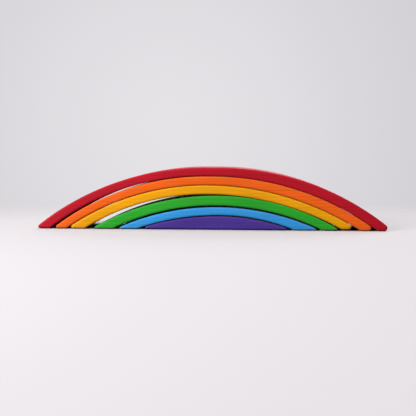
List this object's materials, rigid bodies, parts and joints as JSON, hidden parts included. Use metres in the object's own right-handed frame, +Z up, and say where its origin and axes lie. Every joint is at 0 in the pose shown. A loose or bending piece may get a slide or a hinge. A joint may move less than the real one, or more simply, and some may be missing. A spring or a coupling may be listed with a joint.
{
  "type": "rainbow bridge block",
  "caption": "Low rainbow bridge of nested stained wooden arches over a solid core; each arch is a loose piece that lifts off for stacking, balancing and building.",
  "frame": {"origin": "middle of the outer arch's length and depth, on the surface that the bridge stands on", "axes": "+X along the bridge to the right as seen from the front, +Y from the front face to the back face, +Z up"},
  "size_m": [0.433, 0.07, 0.0766],
  "materials": {
    "purple_stain": "matte transparent purple stain on fine-grained wood, sanded smooth",
    "blue_stain": "matte transparent blue stain on fine-grained wood, sanded smooth",
    "green_stain": "matte transparent green stain on fine-grained wood, sanded smooth",
    "yellow_stain": "matte transparent golden yellow stain on fine-grained wood, sanded smooth",
    "orange_stain": "matte transparent orange stain on fine-grained wood, sanded smooth",
    "red_stain": "matte transparent red stain on fine-grained wood, sanded smooth"
  },
  "bodies": {
    "core": {"purple_core": "purple_stain"},
    "blue": {"blue_arch": "blue_stain"},
    "green": {"green_arch": "green_stain"},
    "yellow": {"yellow_arch": "yellow_stain"},
    "orange": {"orange_arch": "orange_stain"},
    "red": {"red_arch": "red_stain"}
  },
  "joints": [
    {"name": "blue_lift", "type": "slide", "parent": "core", "child": "blue", "axis": [0, 0, 1], "range_m": [0, 0.02]},
    {"name": "green_lift", "type": "slide", "parent": "blue", "child": "green", "axis": [0, 0, 1], "range_m": [0, 0.032]},
    {"name": "yellow_lift", "type": "slide", "parent": "green", "child": "yellow", "axis": [0, 0, 1], "range_m": [0, 0.046]},
    {"name": "orange_lift", "type": "slide", "parent": "yellow", "child": "orange", "axis": [0, 0, 1], "range_m": [0, 0.06]},
    {"name": "red_lift", "type": "slide", "parent": "orange", "child": "red", "axis": [0, 0, 1], "range_m": [0, 0.07]}
  ]
}
